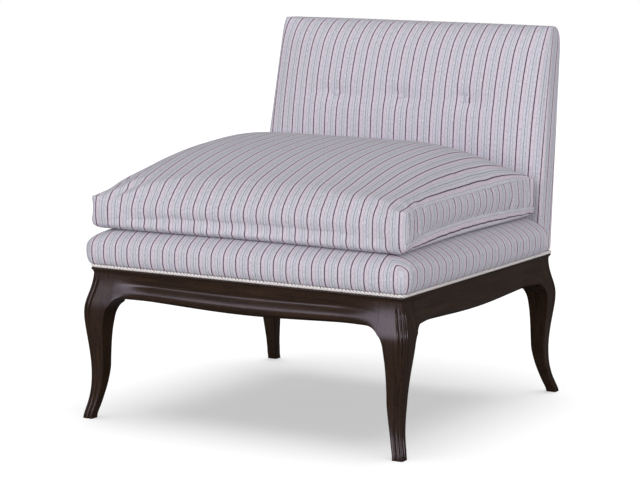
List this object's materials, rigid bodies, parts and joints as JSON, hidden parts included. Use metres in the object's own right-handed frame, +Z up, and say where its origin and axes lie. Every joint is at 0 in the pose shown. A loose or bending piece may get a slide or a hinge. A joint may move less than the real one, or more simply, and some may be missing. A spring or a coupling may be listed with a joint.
{
  "type": "slipper chair",
  "caption": "Armless low lounge chair with cabriole legs, ogee aprons, a tight striped deck, a raked buttoned back and a loose boxed seat cushion.",
  "frame": {"origin": "middle of the overall box in width and depth, at the floor", "axes": "+Z up, +Y towards the back of the chair, +X towards the sitter's left, the right as seen from in front"},
  "size_m": [0.718, 0.8138, 0.787],
  "materials": {
    "wood": "dark espresso stain, satin lacquer",
    "beech": "bare sawn hardwood",
    "stripe": "lavender-grey cotton twill with thin plum and pale blue-grey stripes",
    "button": "buttons covered in the stripe",
    "welt": "piping covered in the stripe cut across, off-white with small dark dots",
    "foam": "upholstery foam wrapped in wadding",
    "cambric": "black nonwoven dust cover",
    "jute": "woven jute webbing",
    "steel": "plain bright steel",
    "zip": "nylon coil zip on woven tape"
  },
  "bodies": {
    "frame": {"leg_front_left": "wood", "corner_block_front_left": "beech", "corner_bolt_front_left": "steel", "leg_front_right": "wood", "corner_block_front_right": "beech", "corner_bolt_front_right": "steel", "leg_rear_left": "wood", "corner_block_rear_left": "beech", "corner_bolt_rear_left": "steel", "leg_rear_right": "wood", "corner_block_rear_right": "beech", "corner_bolt_rear_right": "steel", "apron_front": "wood", "lip_front": "wood", "apron_right": "wood", "lip_right": "wood", "apron_rear": "wood", "lip_rear": "wood", "apron_left": "wood", "lip_left": "wood", "seat_rail_front": "beech", "seat_rail_rear": "beech", "seat_rail_left": "beech", "seat_rail_right": "beech", "seat_spring_1": "steel", "spring_clip_front_1": "steel", "spring_clip_rear_1": "steel", "seat_spring_2": "steel", "spring_clip_front_2": "steel", "spring_clip_rear_2": "steel", "seat_spring_3": "steel", "spring_clip_front_3": "steel", "spring_clip_rear_3": "steel", "seat_spring_4": "steel", "spring_clip_front_4": "steel", "spring_clip_rear_4": "steel", "deck_cover": "stripe", "deck_pad": "foam", "dust_cover": "cambric", "base_welt": "welt", "back_post_left": "beech", "back_post_right": "beech", "back_rail_foot": "beech", "back_rail_lower": "beech", "back_rail_top": "beech", "webbing_across_1": "jute", "webbing_across_2": "jute", "webbing_up_1": "jute", "webbing_up_2": "jute", "webbing_up_3": "jute", "back_cover": "stripe", "back_pad": "foam", "outside_back_panel": "stripe", "button_left": "button", "button_centre": "button", "button_right": "button"},
    "cushion": {"cushion_case": "stripe", "cushion_core": "foam", "cushion_zip": "zip"},
    "zip_slider": {"cushion_zip_slider": "steel"}
  },
  "joints": [
    {"name": "cushion_lift", "type": "slide", "parent": "frame", "child": "cushion", "axis": [0, 0, 1], "range_m": [0, 0.42]},
    {"name": "zip_slide", "type": "slide", "parent": "cushion", "child": "zip_slider", "axis": [-1, 0, 0], "range_m": [0, 0.482]}
  ]
}
